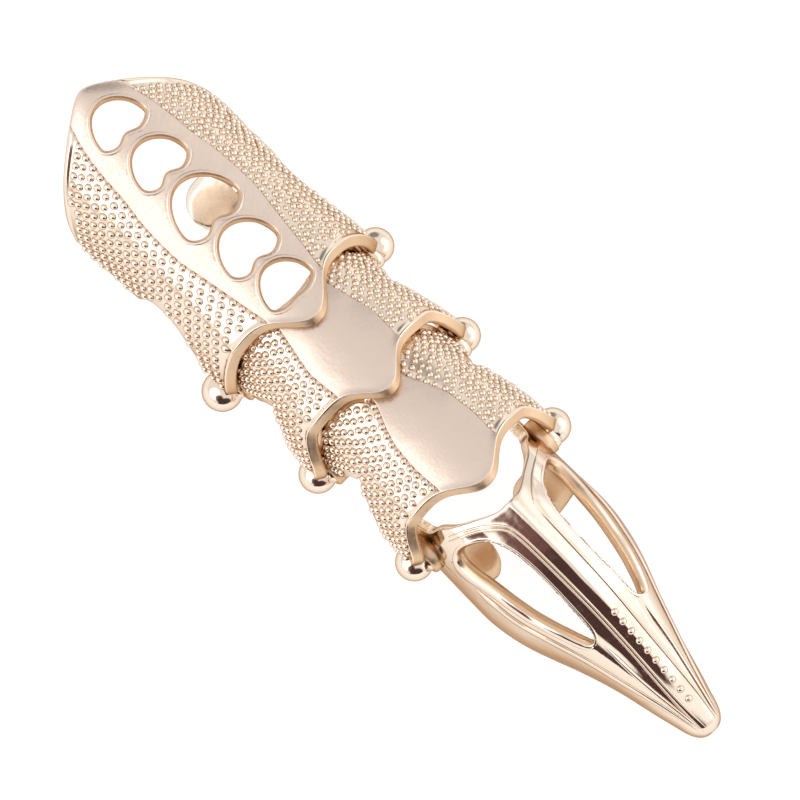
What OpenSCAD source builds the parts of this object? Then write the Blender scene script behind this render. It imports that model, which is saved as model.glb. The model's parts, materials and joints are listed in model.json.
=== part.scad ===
// Full-finger armour ring: four hinged castings in plated zinc alloy.
// A pierced base plate with an open finger band, two short lipped plates
// and a windowed claw turn on six small rivets.
// It lies crest up on its two bands and the claw's point: X runs to the
// point, Z up, and the origin is under the middle of the whole.

/* [Finger and walls] */
// Inside radius of the finger hollow in the base plate
finger_radius = 8.75; // [7.5:0.05:11]
// Wall of the cast plates
plate_wall = 1.1; // [0.8:0.05:1.8]
// Height of the finger axis above the surface the ring lies on
axis_height = 9.7; // [8:0.05:12]
// Height of the smooth raised strips above the flanks
strip_rise = 0.22; // [0.1:0.02:0.5]

/* [Lengths along the finger] */
// Length of the base plate, rear end to first hinge
base_length = 30.7; // [26:0.1:34]
// Distance between the first and second hinge
knuckle_pitch = 12.3; // [10:0.1:15]
// Distance between the second and third hinge
middle_pitch = 13.1; // [10:0.1:16]
// Length of the claw, third hinge to point
claw_length = 32.6; // [26:0.1:36]
// Drop of the hinge lines below the finger axis
hinge_drop = 1.5; // [0:0.1:3]

/* [Lips and knobs] */
// How far a lip's rim flares outward
lip_flare = 1.0; // [0.4:0.1:1.6]
// Length of plate over which the lip flares
lip_flare_length = 2.3; // [1.5:0.1:4]
// Radius of the ball knobs on the lips' ends
knob_radius = 1.9; // [1.4:0.05:2.2]
// Half distance between the knob centres on the base plate
knob_half_base = 10.65; // [10:0.1:12]
// Half distance between the knob centres on the knuckle plate
knob_half_knuckle = 10.2; // [9.5:0.1:11.5]
// Half distance between the knob centres on the middle plate
knob_half_middle = 9.85; // [9:0.1:11]

/* [Rivets] */
// Radius of a rivet's shank
rivet_radius = 0.75; // [0.5:0.05:1]
// Radial clearance of the shank in the lug that turns on it
rivet_clearance = 0.05; // [0.02:0.01:0.1]
// Side gap between a turning lug and the ear outside it
side_gap = 0.2; // [0.1:0.05:0.4]

/* [Bands] */
// Width of the base plate's finger band
band_width = 5.7; // [4:0.1:8]
// Wall of the finger band
band_wall = 1.1; // [0.8:0.05:1.8]
// Half gap between the two rounded ends of the base band
band_half_gap = 0.8; // [0.4:0.1:3]
// Width of the claw's band
claw_band_width = 4.8; // [3:0.1:6]
// Half gap between the two ends of the claw's band
claw_band_half_gap = 2.2; // [1:0.1:4]

/* [Hidden] */
$fn = 64;
whole_length = base_length + knuckle_pitch + middle_pitch + claw_length;
x_rear = -whole_length / 2;
hinge_1 = x_rear + base_length;
hinge_2 = hinge_1 + knuckle_pitch;
hinge_3 = hinge_2 + middle_pitch;
rose_gold = [0.90, 0.74, 0.62];

function smooth(t) = let(c = min(1, max(0, t))) c * c * (3 - 2 * c);

// Front rim of a lip at lateral angle a, ahead of its hinge: a cusp on the
// crest, a concave arc on each side and an ear that reaches the knob.
// Lip columns: depth of the arcs, height of the cusp, half width of the
// cusp, rise to the ear, angle where the rise starts, angle where it ends
lip_base = [1.25, 3.65, 19, 1.8, 45, 92];
lip_knuckle = [2.65, 3.0, 17, 3.2, 52, 84];
lip_middle = [2.25, 2.75, 20, 2.7, 52, 80];
function lip_edge(a, p) = -p[0] + p[1] * exp(-pow(abs(a) / p[2], 2.3))
    + p[3] * smooth((abs(a) - p[4]) / (p[5] - p[4]));

// Rear rims: the base plate ends in a blunt arrow point, the short plates in
// a shallow scallop that stays tucked under the lip before them
function base_rear(a) = -base_length + 0.2 * pow(sqrt(a * a + 64) - 8, 0.86);
function tucked_rear(a, top, deeper) = -top - deeper * pow(sin(min(180, 2 * abs(a))), 2);

// Stations of a plate from rear rim to front rim. Columns: place along the
// plate, half angle of the smooth strip, half angle of the lower edge,
// radius at the crest, radius at the sides
base_rows = [
    [0.00, 19.0, 88, 9.85, 10.10],
    [0.10, 24.5, 93, 9.90, 10.05],
    [0.20, 27.3, 94, 9.95, 9.95],
    [0.31, 29.0, 93, 9.95, 9.90],
    [0.40, 31.5, 89, 9.95, 9.92],
    [0.47, 32.4, 78, 9.95, 10.00],
    [0.53, 32.6, 73, 9.95, 10.10],
    [0.61, 32.3, 72, 9.95, 10.18],
    [0.69, 30.2, 75, 9.97, 10.25],
    [0.77, 28.0, 84, 10.00, 10.28],
    [0.84, 26.0, 95, 10.02, 10.40],
    [0.91, 24.0, 103, 10.05, 10.50],
    [1.00, 21.0, 105, 10.10, 10.60]];
knuckle_rows = [
    [0.00, 21.0, 105, 8.40, 8.90],
    [0.14, 22.0, 103, 8.60, 8.90],
    [0.26, 23.5, 90, 8.84, 8.97],
    [0.34, 24.5, 80, 8.96, 9.07],
    [0.43, 25.7, 74, 9.05, 9.20],
    [0.48, 26.5, 72, 9.10, 9.32],
    [0.53, 27.0, 84, 9.15, 9.50],
    [0.63, 28.0, 95, 9.25, 9.85],
    [0.74, 27.5, 100, 9.35, 10.18],
    [0.86, 26.5, 103, 9.45, 10.45],
    [1.00, 25.0, 105, 9.55, 10.60]];
middle_rows = [
    [0.00, 13.0, 105, 7.75, 8.75],
    [0.14, 14.0, 102, 8.10, 8.80],
    [0.26, 17.5, 82, 8.48, 8.92],
    [0.34, 20.0, 71, 8.70, 9.08],
    [0.42, 22.0, 66, 8.88, 9.25],
    [0.46, 23.0, 62, 8.95, 9.35],
    [0.51, 24.0, 73, 9.03, 9.48],
    [0.63, 25.0, 87, 9.13, 9.75],
    [0.74, 25.5, 98, 9.22, 9.92],
    [0.86, 25.0, 103, 9.30, 10.05],
    [1.00, 24.0, 105, 9.40, 10.15]];

function column(rows, k) = [for (row = rows) [row[0], row[k]]];

// Lateral lines of the grid: -1 is the lower edge on the left, 1 on the
// right, and the strip's border lies at +-0.5 with a short step beside it
strip_lines = 6;
flank_lines = 9;
lines = [
    for (k = [flank_lines:-1:0]) -0.52 - 0.48 * k / flank_lines,
    for (k = [-strip_lines:strip_lines]) 0.5 * k / strip_lines,
    for (k = [0:flank_lines]) 0.52 + 0.48 * k / flank_lines];
function line_angle(v, strip, lower) = abs(v) <= 0.5
    ? 2 * v * strip
    : sign(v) * (strip + (lower - strip) * (abs(v) - 0.5) / 0.5);

// Rows along the plate, closer together where the lip flares
stations = concat([for (k = [0:12]) 0.066 * k], [0.85, 0.9, 0.94, 0.97, 1]);
short_stations = concat([for (k = [0:10]) 0.074 * k], [0.8, 0.86, 0.92, 0.96, 1]);

function flare(d) = lip_flare * pow(max(0, 1 - d / lip_flare_length), 2);
function flare_slope(d) = 2 * lip_flare / lip_flare_length * max(0, 1 - d / lip_flare_length);

// One point of a plate's skin at line v and station s, on the outside or inside
function skin_point(v, s, rows, rear, front, outside) =
    let(
        strip = lookup(s, column(rows, 1)),
        a = line_angle(v, strip, lookup(s, column(rows, 2))),
        x = rear(a) + s * (front(a) - rear(a)),
        d = front(a) - x,
        ease = 1 - 0.7 * smooth((abs(a) - 60) / 30),
        slope = atan(flare_slope(d) * ease),
        side = pow(sin(a), 2),
        r = lookup(s, column(rows, 3)) * (1 - side) + lookup(s, column(rows, 4)) * side
            + flare(d) * ease,
        rise = outside && abs(v) <= 0.5 ? strip_rise : 0,
        depth = outside ? 0 : plate_wall,
        xs = x + depth * sin(slope),
        rs = r + rise - depth * cos(slope))
    [xs, rs * sin(a), rs * cos(a)];

// A cast plate: outside skin, inside skin and the four rims between them
module plate_skin(rows, along, rear, front) {
    n = len(along);
    m = len(lines);
    outer = [for (s = along) for (v = lines) skin_point(v, s, rows, rear, front, true)];
    inner = [for (s = along) for (v = lines) skin_point(v, s, rows, rear, front, false)];
    k = n * m;
    quads = [
        for (i = [0:n - 2]) for (j = [0:m - 2])
            [i * m + j, i * m + j + 1, (i + 1) * m + j + 1, (i + 1) * m + j],
        for (i = [0:n - 2]) for (j = [0:m - 2])
            [k + i * m + j, k + (i + 1) * m + j, k + (i + 1) * m + j + 1, k + i * m + j + 1],
        for (j = [0:m - 2]) [j + 1, j, k + j, k + j + 1],
        for (j = [0:m - 2])
            [(n - 1) * m + j, (n - 1) * m + j + 1, k + (n - 1) * m + j + 1, k + (n - 1) * m + j],
        for (i = [0:n - 2]) [i * m, (i + 1) * m, k + (i + 1) * m, k + i * m],
        for (i = [0:n - 2])
            [(i + 2) * m - 1, (i + 1) * m - 1, k + (i + 1) * m - 1, k + (i + 2) * m - 1]];
    faces = [for (q = quads) each [[q[0], q[1], q[2]], [q[0], q[2], q[3]]]];
    polyhedron(points = concat(outer, inner), faces = faces);
}

// A cylinder across the finger, from y0 to y1 on the side given by side
module across(x, r, y0, y1, side) {
    translate([x, side * y0, -hinge_drop])
        rotate([-90 * side, 0, 0])
            cylinder(h = y1 - y0, r = r);
}

// Ball knobs on a hinge line, with the rivets' blind holes
module knobs(x, half) {
    for (side = [-1, 1])
        translate([x, side * half, -hinge_drop])
            sphere(r = knob_radius);
}

module rivet_holes(x, r, y0, y1) {
    for (side = [-1, 1])
        across(x, r, y0, y1, side);
}

// Lug discs that turn inside the ears of the plate behind
module lugs(x, y0, y1) {
    for (side = [-1, 1])
        across(x, 2.1, y0, y1, side);
}

// Raised rim round a heart: a wider heart, cut off just above the strip
module heart_rim(h) {
    intersection() {
        heart(h[0], h[1] + rim_width, h[2] + rim_width, h[3] + rim_width, h[4]);
        translate([h[0] - 8, 0, 0])
            rotate([0, 90, 0])
                difference() {
                    cylinder(h = 16, r = crest_radius + strip_rise + rim_rise);
                    cylinder(h = 16, r = crest_radius - 0.5);
                }
    }
}

// Heart-shaped piercing: rounded point to the rear, cleft towards the tip
module heart(x, half_width, length, front, cleft) {
    outline = [for (t = [0:10:350])
        let(q = half_width * sin(t) * (1 + 0.1 * cos(t)),
            ahead = front * cos(t) - cleft * exp(-pow(q / (0.36 * half_width), 2)))
        [x + (cos(t) > 0 ? ahead : length * cos(t) - cleft * exp(-9)), q]];
    linear_extrude(height = 12) polygon(outline);
}

// Crest radius of the base plate, width of a heart's rim and its rise
crest_radius = 9.95;
rim_width = 0.6;
rim_rise = 0.25;

// Hearts down the crest. Columns: centre from the first hinge, half width,
// reach to the rear, reach to the front, depth of the cleft
hearts = [
    [-25.15, 2.9, 3.3, 1.6, 0.7],
    [-19.6, 2.95, 3.2, 2.0, 0.9],
    [-13.05, 3.5, 4.1, 2.3, 1.0],
    [-7.2, 3.1, 3.5, 2.1, 0.9],
    [-1.9, 2.85, 3.4, 1.2, 0.3]];

// Inner faces of the ears, from the middle
ear_base = 9.45;
ear_knuckle = 9.4;
ear_middle = 9.05;
// Inner faces of the lugs that turn inside those ears, and the round seats
// that keep the rivets' heads clear of the walls
lug_knuckle = 7.9;
lug_middle = 7.75;
lug_claw = 7.0;
head_radius = rivet_radius + 0.55;
head_seat = head_radius + 0.3;
band_outer = finger_radius + band_wall;
band_x = hinge_1 - 15.65;

// Open finger band under the base plate: a ring slit underneath, with two
// rounded ends and a narrow flat where it rests
module finger_band() {
    intersection() {
        translate([band_x - band_width / 2, 0, 0])
            rotate([90, 0, 90])
                linear_extrude(height = band_width)
                    difference() {
                        circle(r = band_outer);
                        circle(r = finger_radius - 0.4);
                    }
        union() {
            translate([band_x - band_width / 2, -band_outer, -6])
                cube([band_width, 2 * band_outer, 8.6]);
            translate([0, 0, -axis_height])
                linear_extrude(height = axis_height - 5)
                    for (side = [-1, 1]) {
                        translate([band_x, side * (band_half_gap + band_width / 2)])
                            circle(r = band_width / 2);
                        translate([band_x - band_width / 2,
                            side > 0 ? band_half_gap + band_width / 2 : -band_outer])
                            square([band_width, band_outer - band_half_gap - band_width / 2]);
                    }
        }
    }
}

module base_plate() {
    color(rose_gold)
        translate([0, 0, axis_height])
            difference() {
                union() {
                    translate([hinge_1, 0, 0])
                        plate_skin(base_rows, stations, function(a) base_rear(a),
                            function(a) lip_edge(a, lip_base));
                    for (h = hearts)
                        translate([hinge_1, 0, 0])
                            heart_rim(h);
                    finger_band();
                    knobs(hinge_1, knob_half_base);
                }
                translate([x_rear - 1, 0, 0])
                    rotate([0, 90, 0])
                        cylinder(h = base_length - 3, r = finger_radius);
                lugs_space(hinge_1, ear_base);
                for (h = hearts)
                    heart(hinge_1 + h[0], h[1], h[2], h[3], h[4]);
                rivet_holes(hinge_1, rivet_radius, ear_base - 1, knob_half_base + 0.3);
            }
}

// Clear cylinder between two ears where the next plate's lugs turn
module lugs_space(x, ear) {
    translate([x, ear, -hinge_drop])
        rotate([90, 0, 0])
            cylinder(h = 2 * ear, r = 2.5);
}

module knuckle_plate() {
    color(rose_gold)
        translate([0, 0, axis_height])
            difference() {
                union() {
                    translate([hinge_2, 0, 0])
                        plate_skin(knuckle_rows, short_stations,
                            function(a) -knuckle_pitch + tucked_rear(a, 1.1, 1.1),
                            function(a) lip_edge(a, lip_knuckle));
                    knobs(hinge_2, knob_half_knuckle);
                    lugs(hinge_1, lug_knuckle, ear_base - side_gap);
                }
                lugs_space(hinge_2, ear_knuckle);
                rivet_holes(hinge_1, rivet_radius + rivet_clearance, 6, 12);
                rivet_holes(hinge_1, head_seat, 6, lug_knuckle);
                rivet_holes(hinge_2, rivet_radius, ear_knuckle - 1, knob_half_knuckle + 0.3);
            }
}

module middle_plate() {
    color(rose_gold)
        translate([0, 0, axis_height])
            difference() {
                union() {
                    translate([hinge_3, 0, 0])
                        plate_skin(middle_rows, short_stations,
                            function(a) -middle_pitch + tucked_rear(a, 1.8, 1.8),
                            function(a) lip_edge(a, lip_middle));
                    knobs(hinge_3, knob_half_middle);
                    lugs(hinge_2, lug_middle, ear_knuckle - side_gap);
                }
                lugs_space(hinge_3, ear_middle);
                rivet_holes(hinge_2, rivet_radius + rivet_clearance, 6, 12);
                rivet_holes(hinge_2, head_seat, 6, lug_middle);
                rivet_holes(hinge_3, rivet_radius, ear_middle - 1, knob_half_middle + 0.3);
            }
}

// Claw sections. Columns: distance from the third hinge, crest height,
// half width, height of the lower edge, all from the finger axis
claw_rows = [
    [-2.6, 8.9, 8.0, -2.8],
    [0, 9.1, 8.1, -3.0],
    [3, 9.2, 8.2, -3.4],
    [6, 9.0, 8.3, -3.7],
    [9, 8.6, 8.35, -3.9],
    [11.5, 7.9, 8.05, -4.1],
    [14, 6.9, 7.45, -4.3],
    [16.4, 5.5, 6.6, -4.6],
    [18.8, 3.7, 5.65, -5.2],
    [21.3, 1.5, 4.75, -6.0],
    [23.7, -0.7, 4.0, -6.9],
    [25.6, -2.5, 3.5, -7.7],
    [27.5, -4.1, 3.0, -8.4],
    [29.4, -5.6, 2.5, -9.1],
    [31.2, -6.9, 1.95, -9.6],
    [32.1, -7.8, 1.3, -9.7],
    [32.6, -8.7, 0.6, -9.4]];
function claw(k, x) = lookup(x, column(claw_rows, k));

// Raised ridges along the crest's two borders, and flutes beside the point
function claw_relief(x, y, tilt) =
    let(edge = 1.75 - 0.025 * max(0, x - 4),
        ridge = 0.28 * exp(-pow((abs(y) - edge) / 0.3, 2)) * smooth((x - 3) / 3)
            * smooth((31 - x) / 3),
        flute = -0.3 * pow(sin(4.5 * tilt), 2) * smooth((abs(tilt) - 38) / 6)
            * smooth((x - 18.5) / 3) * smooth((31 - x) / 4))
    ridge + flute;

claw_tilts = [-90, -84, -78, -71, -64, -57, -50, -44, -38, -32, -27, -22, -18, -15, -12.5, -10, -6,
    0, 6, 10, 12.5, 15, 18, 22, 27, 32, 38, 44, 50, 57, 64, 71, 78, 84, 90];

module claw_solid() {
    rings = [for (row = claw_rows) let(x = row[0])
        [for (tilt = claw_tilts)
            let(y = row[2] * sin(tilt),
                z = row[3] + (row[1] - row[3]) * cos(tilt),
                out = claw_relief(x, y, tilt))
            [x, y + out * sin(tilt), z + out * cos(tilt)]]];
    ring_solid(rings);
}

// Space inside the claw, open underneath and closed towards the point
module claw_hollow() {
    rings = [for (x = [-4, 0, 3, 6, 9, 12, 14, 16.4, 18.8, 21.3, 23, 24.5])
        let(xs = max(-2.6, x),
            fade = smooth((x - 17) / 8),
            w = claw(2, xs) - 1.25 - 1.1 * fade,
            low = claw(3, xs),
            top = claw(1, xs) - 1.4 - 2.2 * fade)
        [[x, -w, low - 3],
            for (tilt = [-90:10:90]) [x, w * sin(tilt), low + (top - low) * cos(tilt)],
            [x, w, low - 3]]];
    ring_solid(rings);
}

// A solid through rings of points that run from left to right over the top
module ring_solid(rings) {
    n = len(rings);
    m = len(rings[0]);
    points = [for (ring = rings) each ring];
    sides = [for (i = [0:n - 2]) for (j = [0:m - 1])
        let(a = i * m + j, b = i * m + (j + 1) % m, c = a + m, d = b + m)
        each [[a, b, d], [a, d, c]]];
    rear = [for (j = [1:m - 2]) [0, j + 1, j]];
    tip = [for (j = [1:m - 2]) [(n - 1) * m, (n - 1) * m + j, (n - 1) * m + j + 1]];
    polyhedron(points = points, faces = concat(sides, rear, tip));
}

// The arched rear rim seen from above. Columns: ahead of the hinge, off centre
arch_rim = [[3.45, 0], [3.25, 1.6], [2.2, 3.7], [0.9, 5.45], [-0.2, 6.35], [-1.0, 7.1], [-3, 7.4]];
// Side window seen from above. Columns: ahead of the hinge, off centre
window_rim = [[2.6, 6.9], [3.0, 5.9], [4.0, 4.8], [5.3, 3.95], [7.2, 3.4], [9.8, 3.15], [13, 3.15],
    [16.2, 3.25], [18.1, 3.35], [18.9, 3.6], [18.7, 4.1], [17, 4.85], [14.8, 5.6], [12.4, 6.2],
    [10, 6.65], [7.5, 6.95], [5.3, 7.3], [3.5, 7.35]];

// Band under the claw, in two short rounded ends
module claw_band() {
    z_outer = axis_height + 0.15;
    z_inner = z_outer - band_wall;
    w = claw(2, 3);
    arc = [for (t = [0:6:180]) [-(w - 0.25) * cos(t), -z_outer * sin(t)]];
    back = [for (t = [180:-6:0]) [-(w - 1.4) * cos(t), -z_inner * sin(t)]];
    r = claw_band_width / 2;
    intersection() {
        translate([0.6, 0, 0])
            rotate([90, 0, 90])
                linear_extrude(height = claw_band_width)
                    polygon(concat(arc, back));
        union() {
            translate([0.6, -12, -6])
                cube([claw_band_width, 24, 7]);
            translate([0, 0, -axis_height])
                linear_extrude(height = axis_height - 5)
                    for (side = [-1, 1]) {
                        translate([0.6 + r, side * (claw_band_half_gap + r)])
                            circle(r = r);
                        translate([0.6, side > 0 ? claw_band_half_gap + r : -12])
                            square([2 * r, 12 - claw_band_half_gap - r]);
                    }
        }
    }
}

module claw_tip() {
    color(rose_gold)
        translate([hinge_3, 0, axis_height])
            difference() {
                union() {
                    difference() {
                        claw_solid();
                        claw_hollow();
                        translate([0, 0, -20])
                            linear_extrude(height = 40)
                                polygon(concat(
                                    [for (p = arch_rim) p],
                                    [for (k = [len(arch_rim) - 1:-1:1]) [arch_rim[k][0], -arch_rim[k][1]]]));
                        for (side = [-1, 1])
                            translate([0, 0, -20])
                                linear_extrude(height = 40)
                                    polygon([for (p = window_rim) [p[0], side * p[1]]]);
                    }
                    claw_band();
                    lugs(0, lug_claw, ear_middle - side_gap);
                }
                rivet_holes(0, rivet_radius + rivet_clearance, 5, 12);
                rivet_holes(0, head_seat, 5, lug_claw);
            }
}

// A rivet: round shank with a flat head inside the lug
module rivet(x, head_y, tip_y, side) {
    color(rose_gold)
        translate([0, 0, axis_height]) {
            across(x, rivet_radius, head_y, tip_y, side);
            across(x, head_radius, head_y - 0.45, head_y, side);
        }
}

module rivet_1_left() rivet(hinge_1, lug_knuckle - 0.12, knob_half_base + 0.3, -1);
module rivet_1_right() rivet(hinge_1, lug_knuckle - 0.12, knob_half_base + 0.3, 1);
module rivet_2_left() rivet(hinge_2, lug_middle - 0.12, knob_half_knuckle + 0.3, -1);
module rivet_2_right() rivet(hinge_2, lug_middle - 0.12, knob_half_knuckle + 0.3, 1);
module rivet_3_left() rivet(hinge_3, lug_claw - 0.12, knob_half_middle + 0.3, -1);
module rivet_3_right() rivet(hinge_3, lug_claw - 0.12, knob_half_middle + 0.3, 1);

base_plate();
knuckle_plate();
middle_plate();
claw_tip();
rivet_1_left();
rivet_1_right();
rivet_2_left();
rivet_2_right();
rivet_3_left();
rivet_3_right();
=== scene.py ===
import json
from math import asin, atan, cos, degrees, exp, hypot, pi, radians, sin, sqrt, tanh

import bmesh
import bpy
from mathutils import Matrix, Vector

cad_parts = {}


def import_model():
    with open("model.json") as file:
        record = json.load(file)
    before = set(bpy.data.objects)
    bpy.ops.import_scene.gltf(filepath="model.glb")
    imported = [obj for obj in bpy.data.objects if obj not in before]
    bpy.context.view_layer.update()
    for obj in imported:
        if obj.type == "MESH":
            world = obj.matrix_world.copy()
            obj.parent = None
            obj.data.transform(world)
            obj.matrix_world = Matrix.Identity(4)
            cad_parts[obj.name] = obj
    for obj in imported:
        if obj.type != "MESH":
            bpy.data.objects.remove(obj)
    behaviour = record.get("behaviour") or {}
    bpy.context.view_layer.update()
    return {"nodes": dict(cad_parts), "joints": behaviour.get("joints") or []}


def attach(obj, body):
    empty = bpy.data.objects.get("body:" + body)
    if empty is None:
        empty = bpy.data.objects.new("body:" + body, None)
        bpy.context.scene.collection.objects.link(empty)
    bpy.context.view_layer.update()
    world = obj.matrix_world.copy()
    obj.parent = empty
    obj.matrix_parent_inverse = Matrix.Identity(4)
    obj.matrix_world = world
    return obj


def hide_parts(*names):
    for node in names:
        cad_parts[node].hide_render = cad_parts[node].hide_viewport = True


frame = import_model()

# Full-finger armour ring in plated zinc alloy. Lengths are millimetres and
# angles degrees until a casting is finished, which scales it to metres.
MM = 0.001
HINGE_1, HINGE_2, HINGE_3 = (joint["pos_m"][0] / MM for joint in frame["joints"])
HINGE_HEIGHT = frame["joints"][0]["pos_m"][2] / MM
# The finger's axis runs this much above the hinges
HINGE_DROP = 1.5
AXIS_HEIGHT = HINGE_HEIGHT + HINGE_DROP
WALL = 1.1
# A millimetre across the skin is taken as this angle all round
MEAN_RADIUS = 9.9
DEG_PER_MM = degrees(1 / MEAN_RADIUS)
# Raised strip down each crest: rise, half width of its slope, depth of the
# line cut beside it, how far outside the strip the line runs, its width and
# the length over which it fades at the lip
STRIP_RISE, STRIP_SLOPE = 0.22, 0.12
LINE_DEPTH, LINE_OUTSIDE, LINE_WIDTH, LINE_FADE = 0.14, 0.09, 0.07, 0.2
# Flared front lip: flare, its length, how much the flare eases at the ears,
# and the angle where the easing starts and how far it takes
LIP_FLARE, LIP_FLARE_LENGTH = 0.3, 1.3
EAR_EASE, EAR_START, EAR_SPREAD = 0.7, 60, 30
# Raised borders along the lips and along the base plate's rear rim: width
# and length of the slope down
LIP_BORDER, LIP_BORDER_SLOPE = 0.65, 0.4
REAR_BORDER, REAR_BORDER_SLOPE = 0.8, 0.2
# The base plate's rear rim rolls inwards by this much over this length
REAR_ROLL, REAR_ROLL_LENGTH = 0.45, 2.1
# Radius of the rims, and the share of it that the inner side is rounded
RIM_ROUND, INNER_ROUND = 0.3, 0.6
# Front edge of a lip. Columns: distance from the rim, drop below the skin
LIP_EDGE = [(0.0, 0.96), (0.03, 0.86), (0.12, 0.62), (0.23, 0.34), (0.32, 0.12), (0.38, 0.03),
            (0.45, 0.0), (0.58, 0.0)]
# Faces this near a lip's rim are its front, which takes the finish with painted shade and painted reflection
# of the next plate
LIP_FRONT = 0.35
# Each casting's faces are dressed in one of four finishes; the fourth, on faces in shade, has painted shade
# and reflection in its colour
BRIGHT, PANEL, TUMBLED, PAINTED_SHADE_FINISH = range(4)


def smooth(t):
    """Soft step from 0 to 1."""
    t = min(1.0, max(0.0, t))
    return t * t * (3 - 2 * t)


def curve(rows, at, k):
    """Smooth value of column k where column 0 is at, through the rows of a short table."""
    n = len(rows)
    i = 0
    while i < n - 2 and at > rows[i + 1][0]:
        i += 1
    p, q = rows[i], rows[i + 1]
    h = q[0] - p[0]
    t = min(1.0, max(0.0, (at - p[0]) / h))
    before = rows[i - 1] if i > 0 else p
    after = rows[i + 2] if i < n - 2 else q
    m0 = (q[k] - before[k]) / (q[0] - before[0]) * h
    m1 = (after[k] - p[k]) / (after[0] - p[0]) * h
    return ((2 * t**3 - 3 * t**2 + 1) * p[k] + (t**3 - 2 * t**2 + t) * m0
            + (3 * t**2 - 2 * t**3) * q[k] + (t**3 - t**2) * m1)


# Camera

# The photograph looks down at 80 degrees, 10.03 pixels a millimetre.
# The long lens keeps the plates' scale alike from end to end
CAMERA_AZIMUTH, CAMERA_ELEVATION = 44.2, 80.0
PIXELS_PER_MM = 10.03
PICTURE = 800
ORIGIN_PIXEL = (399.14, 429.38)
LENS, SENSOR = 1500.0, 36.0
CREST_ABOVE_ORIGIN = 12.0


def make_camera():
    """The photograph's own view."""
    a, e = radians(CAMERA_AZIMUTH), radians(CAMERA_ELEVATION)
    right = Vector((cos(a), sin(a), 0))
    back = Vector((sin(a) * cos(e), -cos(a) * cos(e), sin(e)))
    up = back.cross(right)
    distance = LENS / SENSOR * PICTURE / PIXELS_PER_MM + CREST_ABOVE_ORIGIN
    place = (right * (PICTURE / 2 - ORIGIN_PIXEL[0]) / PIXELS_PER_MM
             + up * (ORIGIN_PIXEL[1] - PICTURE / 2) / PIXELS_PER_MM + back * distance)
    data = bpy.data.cameras.new("camera")
    data.lens = LENS
    data.sensor_width = SENSOR
    data.clip_start = 0.1
    data.clip_end = 100.0
    camera = bpy.data.objects.new("camera", data)
    turn = Matrix((right, up, back)).transposed()
    camera.matrix_world = Matrix.Translation(place * MM) @ turn.to_4x4()
    bpy.context.scene.collection.objects.link(camera)
    bpy.context.scene.camera = camera


make_camera()


# Finishes

def linear(hex_colour):
    """An sRGB hex colour as linear red, green, blue and alpha."""
    parts = [int(hex_colour[i:i + 2], 16) / 255 for i in (1, 3, 5)]
    return tuple(c / 12.92 if c <= 0.04045 else ((c + 0.055) / 1.055) ** 2.4 for c in parts) + (1.0,)


def add(tree, kind, settings=None, links=None):
    """Adds a node, sets its properties and sockets, and links its inputs."""
    node = tree.nodes.new(kind)
    for name, value in (settings or {}).items():
        if isinstance(name, int) or name in node.inputs:
            node.inputs[name].default_value = value
        else:
            setattr(node, name, value)
    for name, source in (links or {}).items():
        tree.links.new(source, node.inputs[name])
    return node


# Casting waves this long run under every finish. The plating turns browner
# where it is seen edge on. The grain's noise lies mostly in its range, which
# spreads the roughness from its low value to its high one
WAVE_LENGTH = 2.6
EDGE_ON = "#B8977D"
GRAIN_RANGE = (0.35, 0.68)


def metal(name, colour, roughness, wave, grain, grain_mm):
    """Plated cast zinc. Takes its colour, roughness range, height of its waves and height and
    width of its grain in millimetres."""
    material = bpy.data.materials.new(name)
    material.use_nodes = True
    tree = material.node_tree
    tree.nodes.clear()
    place = add(tree, "ShaderNodeTexCoord").outputs["Object"]
    waves = add(tree, "ShaderNodeTexNoise", {"Scale": 1 / (WAVE_LENGTH * MM), "Detail": 2.0},
                {"Vector": place})
    fine = add(tree, "ShaderNodeTexNoise", {"Scale": 1 / (grain_mm * MM), "Detail": 3.0},
               {"Vector": place})
    first = add(tree, "ShaderNodeBump", {"Strength": 1.0, "Distance": wave * MM},
                {"Height": waves.outputs["Fac"]})
    second = add(tree, "ShaderNodeBump", {"Strength": 1.0, "Distance": grain * MM},
                 {"Height": fine.outputs["Fac"], "Normal": first.outputs["Normal"]})
    patch = add(tree, "ShaderNodeMapRange", {"From Min": GRAIN_RANGE[0], "From Max": GRAIN_RANGE[1],
                                             "To Min": roughness[0], "To Max": roughness[1]},
                {"Value": fine.outputs["Fac"]})
    shader = add(tree, "ShaderNodeBsdfPrincipled", {"Base Color": linear(colour), "Metallic": 1.0,
                                                    "Specular Tint": linear(EDGE_ON)},
                 {"Roughness": patch.outputs["Result"], "Normal": second.outputs["Normal"]})
    add(tree, "ShaderNodeOutputMaterial", {}, {"Surface": shader.outputs["BSDF"]})
    return material


# Buffed after plating, on the flanks, beads, knobs and claw: a near mirror in
# pale rose gold whose reflections swim a little over the casting's slow waves
POLISHED = metal("polished_rose_gold", "#F5E4D1", (0.06, 0.15), 0.06, 0.004, 0.5)
# Brushed lightly before plating, on the strips and round the hearts: a soft
# grey-pink sheen with a fine grain
SATIN = metal("satin_rose_gold", "#E9D6C6", (0.30, 0.44), 0.06, 0.02, 0.28)
# Tumbled, on the finger band, where no hand buffs: pale, with blurred
# reflections
INSIDE = metal("tumbled_rose_gold", "#FAEEDF", (0.27, 0.33), 0.10, 0.004, 0.35)
# On the lips' fronts, the openings' rims, the lugs and the claw's band: rougher
# than the polish, in a deeper, oranger rose that is painted shade and painted
# reflection of the plates nearby
PAINTED_SHADE_METAL = metal("painted_shade_rose_gold", "#E3C3A0", (0.30, 0.42), 0.08, 0.006, 0.3)
FINISHES = [POLISHED, SATIN, INSIDE, PAINTED_SHADE_METAL]


# Studio

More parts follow.
